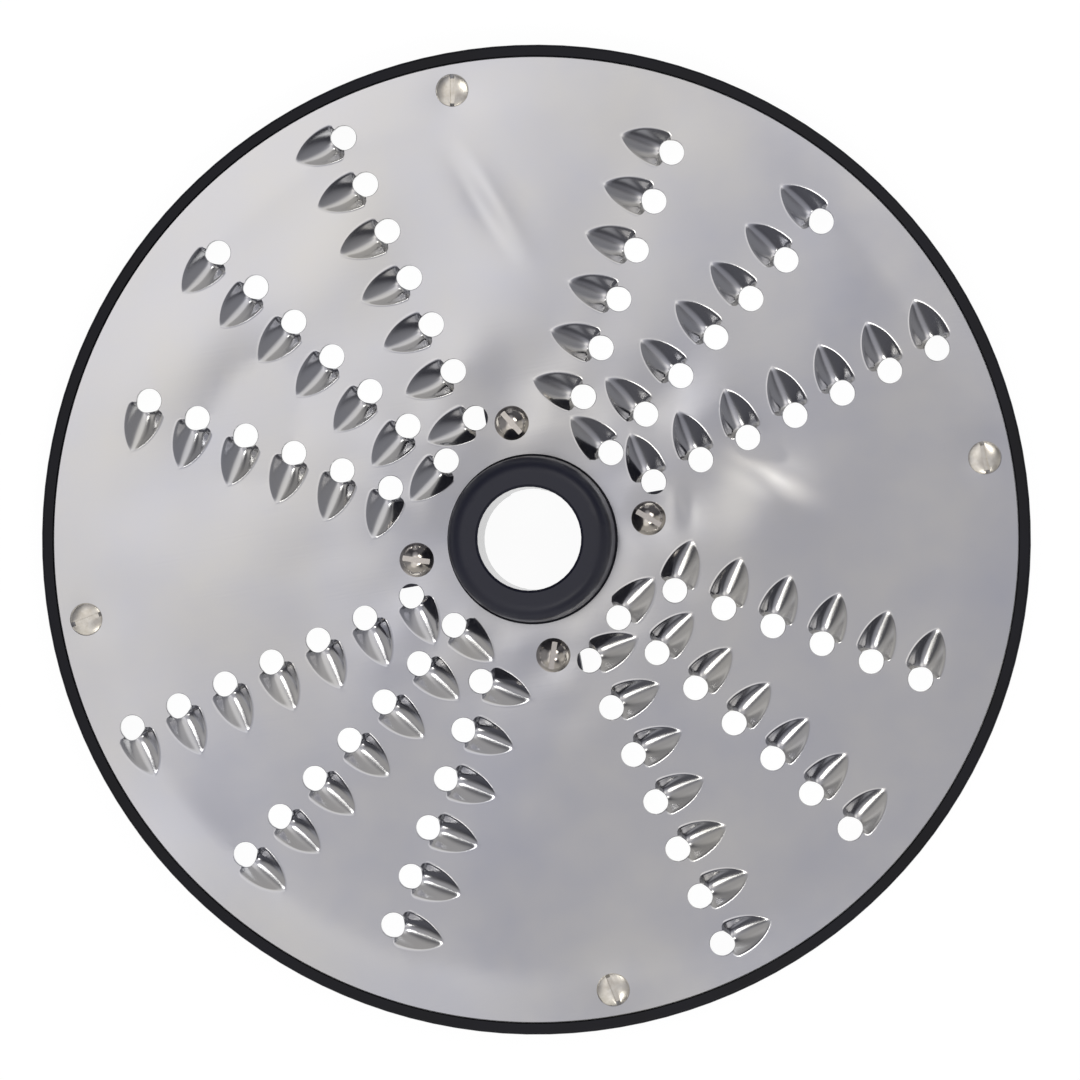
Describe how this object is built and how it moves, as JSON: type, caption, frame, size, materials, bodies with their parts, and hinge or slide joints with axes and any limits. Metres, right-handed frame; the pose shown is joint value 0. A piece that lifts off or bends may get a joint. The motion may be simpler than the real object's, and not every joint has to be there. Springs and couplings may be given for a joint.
{
  "type": "food processor disc",
  "caption": "Round stainless grating plate with rows of raised open-mouthed teeth, screwed to a black spoked carrier with a tall hub collar and a central shaft bore.",
  "frame": {"origin": "on the bore's axis, at the underside that the disc rests on", "axes": "+Z along the bore out of the toothed face, +X along one spoke"},
  "size_m": [0.205, 0.205, 0.023],
  "materials": {
    "black_moulding": "smooth moulded black, slight sheen",
    "satin_stainless": "satin rolled sheet",
    "flat_screw_steel": "dull turned face",
    "round_screw_steel": "polished dome",
    "insert_brass": "turned"
  },
  "bodies": {
    "root": {"carrier": "black_moulding", "grating_plate": "satin_stainless", "rim_screws": "flat_screw_steel", "hub_screws": "round_screw_steel", "rim_inserts": "insert_brass", "hub_inserts": "insert_brass"}
  },
  "joints": []
}
